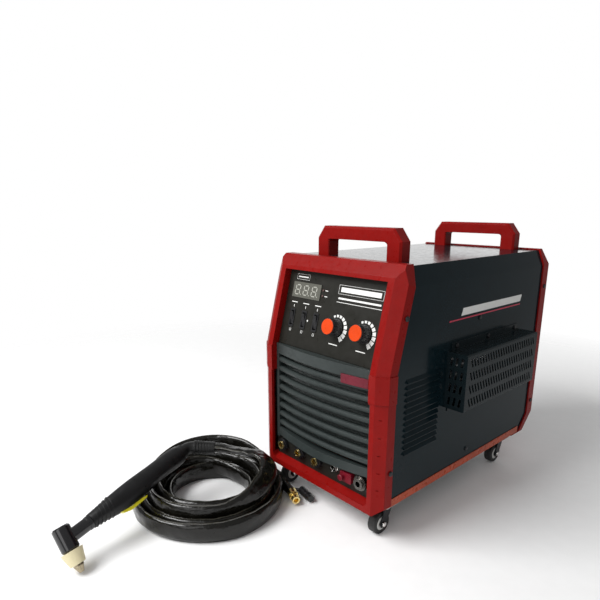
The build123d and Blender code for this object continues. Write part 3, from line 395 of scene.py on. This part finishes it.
# Places on the panel: (across, up its slope).
HEADER_AT, DOT_X = (-82.0, 129.5), -52.4
LAMP_CAPTION_X, LAMP_CAPTION_UP = -18.5, (101.5, 111.5)
PLATE_X, PLATE_UP = 57.5, 118.0
DIGIT_X, DIGIT_UP, WINDOW_OUT = (-89.5, -68.5, -47.5), 106.0, 1.7


def make_panel_print():
    """Generic print: caption bars, dial blocks, an outlined name plate with a bar, and the display."""
    pale = []

    def add(shape, x, up):
        pale.append(placed(panel_frame(x, up), shape))

    add(outlined(33, 9.5, 0.5), *HEADER_AT)
    add(bar(26, 2.2), *HEADER_AT)
    for up in LAMP_CAPTION_UP:
        add(bar(7, 1.4), LAMP_CAPTION_X, up)
    for x in SWITCH_X:
        add(bar(1.3, 4.6), x, CONTROL_UP + 22)
        add(outlined(3.8, 3.8, 0.8), x, CONTROL_UP - 22)
        add(bar(15, 1.5), x, CONTROL_UP + 29)
    low, high = PRINT
    add(lathe([(0.1, low), (1.7, low), (1.7, high), (0.1, high)], 16), DOT_X, CONTROL_UP)
    for x in KNOB_X:
        add(dial_blocks(), x, CONTROL_UP)
        add(bar(20, 1.7), x, CONTROL_UP - 29)
    add(outlined(96, 15), PLATE_X, PLATE_UP)
    add(bar(86, 8.0), PLATE_X, PLATE_UP)
    add(bar(92, 3.0), PLATE_X, PLATE_UP - 15)
    add(bar(97, 1.0), PLATE_X, PLATE_UP - 21.5)
    new_piece("panel_print", *join(pale), MARK, "cabinet", smooth=0)
    digits = [placed(panel_frame(x, DIGIT_UP, WINDOW_OUT), digit_eight()) for x in DIGIT_X]
    new_piece("meter_digits", *join(digits), SEGMENT, "cabinet", smooth=0)


def cover_side():
    """Where the flat right side of the cover lies: the vent box starts on it."""
    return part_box("side_vent_box")[0].x


def make_side_print():
    """A plain stripe over a thin rule on the right side of the cover."""
    turn = Matrix(((0, 0, 1), (1, 0, 0), (0, 1, 0))).to_4x4()
    side = Matrix.Translation(Vector((cover_side(), CABINET.y, 0))) @ turn
    stripe = bar(212, 13, 306, 368, 5)
    rule = bar(248, 2.4, 289, 356)
    new_piece("side_stripe", *placed(side, stripe), MARK, "cabinet", smooth=0)
    new_piece("side_rule", *placed(side, rule), ACCENT, "cabinet", smooth=0)


# ---------------------------------------------------------------- casters
def make_caster_hubs():
    """A pale hub disc in each side of a wheel and a bright cap on each end of its axle."""
    hub = lathe([(6.3, -1.9), (12.8, -1.9), (12.8, -0.9), (11.2, 0.1), (8.0, -0.2), (6.3, -0.6)], 40)
    cap = lathe([(0.2, -0.2), (4.4, -0.2), (4.2, 1.0), (3.0, 1.9), (1.2, 2.3), (0.2, 2.4)], 24)
    for corner in CORNERS:
        low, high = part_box("caster_wheel_" + corner)
        fork_low, fork_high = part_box("caster_fork_" + corner)
        middle = (low + high) / 2
        hubs, caps = [], []
        for s, wheel_x, fork_x in ((1, high.x, fork_high.x), (-1, low.x, fork_low.x)):
            turn = Matrix(((0, 0, s), (0, 1, 0), (-s, 0, 0))).to_4x4()
            hubs.append(placed(Matrix.Translation((wheel_x, middle.y, middle.z)) @ turn, hub))
            caps.append(placed(Matrix.Translation((fork_x, middle.y, middle.z)) @ turn, cap))
        new_piece("hub_" + corner, *join(hubs), HUB, "wheel_" + corner, smooth=40)
        new_piece("axle_caps_" + corner, *join(caps), CHROME, "swivel_" + corner, smooth=50)


# ---------------------------------------------------------------- torch handle detail
TUBE_SIDES = 8


def loop_tube(centres, radius):
    """A closed tube of small radius round a loop of points."""
    verts, faces, n, sides = [], [], len(centres), TUBE_SIDES
    middle = sum(centres, Vector((0, 0, 0))) / n
    for i, c in enumerate(centres):
        ahead = (centres[(i + 1) % n] - centres[i - 1]).normalized()
        out = (c - middle).normalized()
        side = ahead.cross(out).normalized()
        for j in range(sides):
            turn = 2 * math.pi * j / sides
            verts.append(tuple(c + (out * math.cos(turn) + side * math.sin(turn)) * radius))
    for i in range(n):
        for j in range(sides):
            k, m = (i + 1) % n, (j + 1) % sides
            faces.append((i * sides + j, i * sides + m, k * sides + m, k * sides + j))
    return verts, faces


# Place along the torch, half width and half height of each ridge.
RIDGES = ((52, 13.6, 13.2), (59, 14.6, 13.8), (66, 15.2, 14.6), (73, 15.5, 15.8), (80, 15.7, 16.9))
RIDGE_SLANT, RIDGE_RADIUS, RIDGE_STEPS = 4.0, 0.75, 40


def make_grip_ridges():
    """Slanting moulded ridges round the front of the handle, ahead of the trigger."""
    ridges = []
    for x, wide, tall in RIDGES:
        loop = []
        for step in range(RIDGE_STEPS):
            turn = 2 * math.pi * step / RIDGE_STEPS
            across, up = math.cos(turn), math.sin(turn)
            loop.append(Vector((x + RIDGE_SLANT * up, wide * across, tall * up)))
        ridges.append(placed(torch_frame(), loop_tube(loop, RIDGE_RADIUS)))
    new_piece("grip_ridges", *join(ridges), GRIP, "torch", "grip_plastic", smooth=60)


# ---------------------------------------------------------------- torch lead
COIL_AT = (-160.0, -122.0)
SHEATH_TALL, SHEATH_THICK, SEAM = 36.0, 12.4, 1.6
# Uncoiled stretches, as in the CAD: from the boot over the coil, and out to the machine-end fitting.
TORCH_TAIL = [
    (-150.0, -60.0, 88.0),
    (-116.0, -32.0, 82.0),
    (-80.0, -38.0, 74.0),
    (-57.0, -70.0, 64.0),
    (-50.0, -108.0, 50.0),
]
MACHINE_TAIL = [
    (-108.0, 1.0, 18.0),
    (-84.0, 1.5, 17.0),
    (-62.0, -2.0, 14.0),
]
# Radius and height of the middle of each turn, wound clockwise from the torch end.
TURNS = [(107.0, 36.0), (92.5, 35.5), (77.0, 19.0), (90.0, 18.5), (104.0, 18.5), (119.0, 18.5), (133.5, 18.5)]
TURN_START, TURN_END_DEGREES = -14.0, 118.0     # angle of the first point; how far the outermost turn runs
CHANGE_FROM, CHANGE_SHARE = 0.42, 0.30          # part of a turn in which it moves over to the next one
STEPS_PER_TURN = 18


def polar(angle, radius, height):
    """A point round the coil's middle."""
    turn = math.radians(angle)
    return (COIL_AT[0] + radius * math.cos(turn), COIL_AT[1] + radius * math.sin(turn), height)


def ease(t):
    t = min(1.0, max(0.0, t))
    return t * t * (3 - 2 * t)


def coil_points():
    """Turns of different size, each moving over to the next at the left and the back."""
    points = []
    count = round((len(TURNS) - 1 + TURN_END_DEGREES / 360) * STEPS_PER_TURN) + 1
    for i in range(count):
        wound = i / STEPS_PER_TURN
        angle = TURN_START - 360.0 * wound
        turn = int(wound)
        share = ease((wound - turn - CHANGE_FROM) / CHANGE_SHARE)
        here, after = TURNS[turn], TURNS[min(turn + 1, len(TURNS) - 1)]
        radius = here[0] + (after[0] - here[0]) * share
        height = here[1] + (after[1] - here[1]) * share
        loose = 2.2 * math.sin(math.radians(angle * 2 + 60 * turn))
        loose += 1.3 * math.sin(math.radians(angle * 3 - 50 * turn))
        points.append(polar(angle, radius + loose, height))
    return points


def last_turn():
    """The lead's last half turn climbs over the others at the back and comes down beside the cabinet."""
    stops = [(-150, 134, 26), (-168, 135, 40), (-186, 134, 51), (-206, 132, 56), (-226, 130, 57),
             (-246, 126, 56), (-263, 121, 52), (-278, 120, 43), (-291, 125, 32)]
    return [polar(angle, radius, height) for angle, radius, height in stops]


def lead_route():
    route = [tuple(BOOT_EXIT)] + TORCH_TAIL + coil_points() + last_turn() + MACHINE_TAIL
    return [at(*p) for p in route]


def smooth_line(name, points, resolution):
    """Points along the NURBS line whose control points are given."""
    curve = bpy.data.curves.new(name, "CURVE")
    curve.dimensions = "3D"
    spline = curve.splines.new("NURBS")
    spline.points.add(len(points) - 1)
    for control, point in zip(spline.points, points):
        control.co = (*point, 1)
    spline.order_u = 3
    spline.use_endpoint_u = True
    spline.resolution_u = resolution
    holder = bpy.data.objects.new(name, curve)
    mesh = bpy.data.meshes.new_from_object(holder)
    line = [v.co.copy() for v in mesh.vertices]
    bpy.data.objects.remove(holder)
    bpy.data.curves.remove(curve)
    bpy.data.meshes.remove(mesh)
    return line


SECTION_STEPS = 26


def sheath_section():
    """Flat tube, seen along the lead: bulging sides and a welded seam on each edge."""
    tall, thick = SHEATH_TALL / 2 - SEAM, SHEATH_THICK / 2
    section = []
    for i in range(SECTION_STEPS):
        turn = 2 * math.pi * (i + 0.5) / SECTION_STEPS
        bulge = abs(math.cos(turn)) ** 0.8 * math.copysign(1, math.cos(turn))
        section.append((thick * bulge, tall * math.sin(turn)))
    half = SECTION_STEPS // 4
    upper = [(0.9, tall + 0.2), (0.7, tall + SEAM), (-0.7, tall + SEAM), (-0.9, tall + 0.2)]
    lower = [(-x, -z) for x, z in upper]
    return section[:half] + upper + section[half:3 * half + 1] + lower + section[3 * half + 1:]


def skin(stations, n):
    """Faces of a tube whose stations have n points each, closed at both ends."""
    faces = [(i * n + j, i * n + (j + 1) % n, (i + 1) * n + (j + 1) % n, (i + 1) * n + j)
             for i in range(stations - 1) for j in range(n)]
    return faces + [tuple(range(n)), tuple(range((stations - 1) * n, stations * n))]


def make_weld_highlight(verts, n):
    """The welded bead along the sheath's upper edge, paler than the sheath: a painted highlight of the light
    caught on the seam.
    """
    first = SECTION_STEPS // 4
    bead = []
    for start in range(0, len(verts), n):
        edge = verts[start + first:start + first + 4]
        middle = sum(edge, Vector()) / 4
        bead += [middle + (v - middle) * 1.25 for v in edge]
    return new_piece("sheath_weld_highlight", bead, skin(len(verts) // n, 4), WELD_HIGHLIGHT, "torch", "sheath", smooth=50)


LOOSE_LENGTH = 0.24                 # of the stretch after the boot, where the sheath lies on its side
LOOSE_TILT = 66.0
FLOOR_GAP = 0.0004


def sheath_shape(along, total):
    """How loose the sheath lies at a place along the lead, its tilt, and its width and thickness there."""
    lie = 1 - ease((along - LOOSE_LENGTH * 0.35) / (LOOSE_LENGTH * 0.75))
    wander = 5 * math.sin(along * 21) + 4 * noise.noise(Vector((along * 9, 0, 3)))
    gather = ease(along / 0.05)
    last = ease((total - along) / 0.06)
    width = (0.62 + 0.38 * gather) * (0.5 + 0.5 * last)
    depth = (1.5 - 0.5 * gather) * (1.25 - 0.25 * last)
    return 1.0 + 1.6 * lie, math.radians(LOOSE_TILT * lie + wander), width, depth


def crumple(along, x, z):
    """Unevenness of the film at a point of the section (x, z)."""
    coarse = noise.noise(Vector((along * 42, z * 0.10, x * 0.06 + 7)))
    return coarse + 0.6 * noise.noise(Vector((along * 95, z * 0.16 + 4, x * 0.1)))


def make_lead():
    """The flat sheath at its full length, in place of the three stand-ins of the CAD."""
    line = smooth_line("lead_line", lead_route(), 10)
    section = sheath_section()
    along, verts, n = 0.0, [], len(section)
    steps = [(b - a).length for a, b in zip(line, line[1:])]
    total = sum(steps)
    for i, centre in enumerate(line):
        ahead = (line[min(i + 1, len(line) - 1)] - line[max(i - 1, 0)]).normalized()
        side = ahead.cross(Vector((0, 0, 1))).normalized()
        up = side.cross(ahead)
        loose, tilt, width, depth = sheath_shape(along, total)
        for x, z in section:
            fold = crumple(along, x, z)
            across = x * depth + fold * 1.1 * loose
            tall = z * width + fold * 0.8 * loose * (z / SHEATH_TALL)
            offset = side * across * math.cos(tilt) - up * across * math.sin(tilt)
            offset = offset + up * tall * math.cos(tilt) + side * tall * math.sin(tilt)
            verts.append(centre + offset * MM)
        if i < len(steps):
            along += steps[i]
    for v in verts:
        v.z = max(v.z, FLOOR_GAP)
    lead = new_piece("lead_sheath", verts, skin(len(line), n), SHEATH, "torch", "sheath", smooth=70)
    weld_highlight_piece = make_weld_highlight(verts, n)
    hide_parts("lead_coil", "lead_tail_torch", "lead_tail_machine")


# ---------------------------------------------------------------- camera, light and floor
CAMERA_AT, CAMERA_TURN, CAMERA_DIP = (599.9, -571.7, 541.2), 48.25, 14.70


def make_camera():
    data = bpy.data.cameras.new("camera")
    data.sensor_width = 36.0
    data.lens = 30.70
    data.shift_y = 0.068
    camera = bpy.data.objects.new("camera", data)
    bpy.context.scene.collection.objects.link(camera)
    turn, dip = math.radians(CAMERA_TURN), math.radians(CAMERA_DIP)
    look = Vector((-math.sin(turn) * math.cos(dip), math.cos(turn) * math.cos(dip), -math.sin(dip)))
    camera.location = at(*CAMERA_AT)
    camera.rotation_mode = "QUATERNION"
    camera.rotation_quaternion = look.to_track_quat("-Z", "Y")
    data.clip_start = 0.01
    bpy.context.scene.camera = camera


def softbox(name, place, aim, size, power):
    """A white rectangular light of a size in metres, aimed at a point."""
    data = bpy.data.lights.new(name, "AREA")
    data.shape = "RECTANGLE"
    data.size, data.size_y = size
    data.energy = power
    light = bpy.data.objects.new(name, data)
    bpy.context.scene.collection.objects.link(light)
    light.location = at(*place)
    light.rotation_mode = "QUATERNION"
    light.rotation_quaternion = (at(*aim) - light.location).to_track_quat("-Z", "Y")
    light.visible_camera = False


FLOOR_FADE = (0.9, 1.7)             # metres from the middle between which the floor fades out
FLOOR_HALF = 2.5


def floor_finish():
    """Pale floor that fades out far from the object, so that it meets the background unseen."""
    material = finish_of("floor", (0.93, 0.93, 0.93), 0.85, specular=0.1, mottle=0.01, edge=0.1)
    tree = material.node_tree
    place = tree.nodes.new("ShaderNodeTexCoord")
    reach = tree.nodes.new("ShaderNodeVectorMath")
    reach.operation = "LENGTH"
    link(tree, place, "Object", reach, 0)
    clear = tree.nodes.new("ShaderNodeBsdfTransparent")
    mix = tree.nodes.new("ShaderNodeMixShader")
    tree.links.new(ramp(tree, reach.outputs["Value"], 0, 1, *FLOOR_FADE), mix.inputs[0])
    tree.links.new(tree.nodes["Principled BSDF"].outputs[0], mix.inputs[1])
    tree.links.new(clear.outputs[0], mix.inputs[2])
    tree.links.new(mix.outputs[0], tree.nodes["Material Output"].inputs["Surface"])
    return material


def make_floor():
    verts = [(x * FLOOR_HALF, y * FLOOR_HALF, -FLOOR_GAP) for x, y in ((-1, -1), (1, -1), (1, 1), (-1, 1))]
    mesh = bpy.data.meshes.new("floor")
    mesh.from_pydata(verts, [], [(0, 1, 2, 3)])
    mesh.materials.append(floor_finish())
    floor = bpy.data.objects.new("floor", mesh)
    bpy.context.scene.collection.objects.link(floor)


def make_world(seen, lit):
    """White surroundings: seen is their strength for the camera, lit for everything else."""
    world = bpy.data.worlds.new("studio")
    bpy.context.scene.world = world
    world.use_nodes = True
    tree = world.node_tree
    background = tree.nodes["Background"]
    background.inputs["Color"].default_value = (1, 1, 1, 1)
    path = tree.nodes.new("ShaderNodeLightPath")
    strength = ramp(tree, path.outputs["Is Camera Ray"], lit, seen, 0, 1)
    tree.links.new(strength, background.inputs["Strength"])


def make_studio():
    bpy.context.scene.view_settings.view_transform = "Standard"
    make_world(1.0, 0.36)
    middle = (0, 150, 200)
    softbox("key", (-700, -1500, 1900), middle, (1.6, 1.2), 70)
    softbox("fill", (800, -1900, 900), middle, (1.2, 1.2), 8)
    softbox("back", (-1900, 1900, 900), (0, 200, 420), (3.2, 1.4), 13)
    make_floor()


# ---------------------------------------------------------------- build
dress_cad_nodes()
make_camera()
make_studio()
make_panel_print()
make_side_print()
make_caster_hubs()
make_grip_ridges()
make_lead()
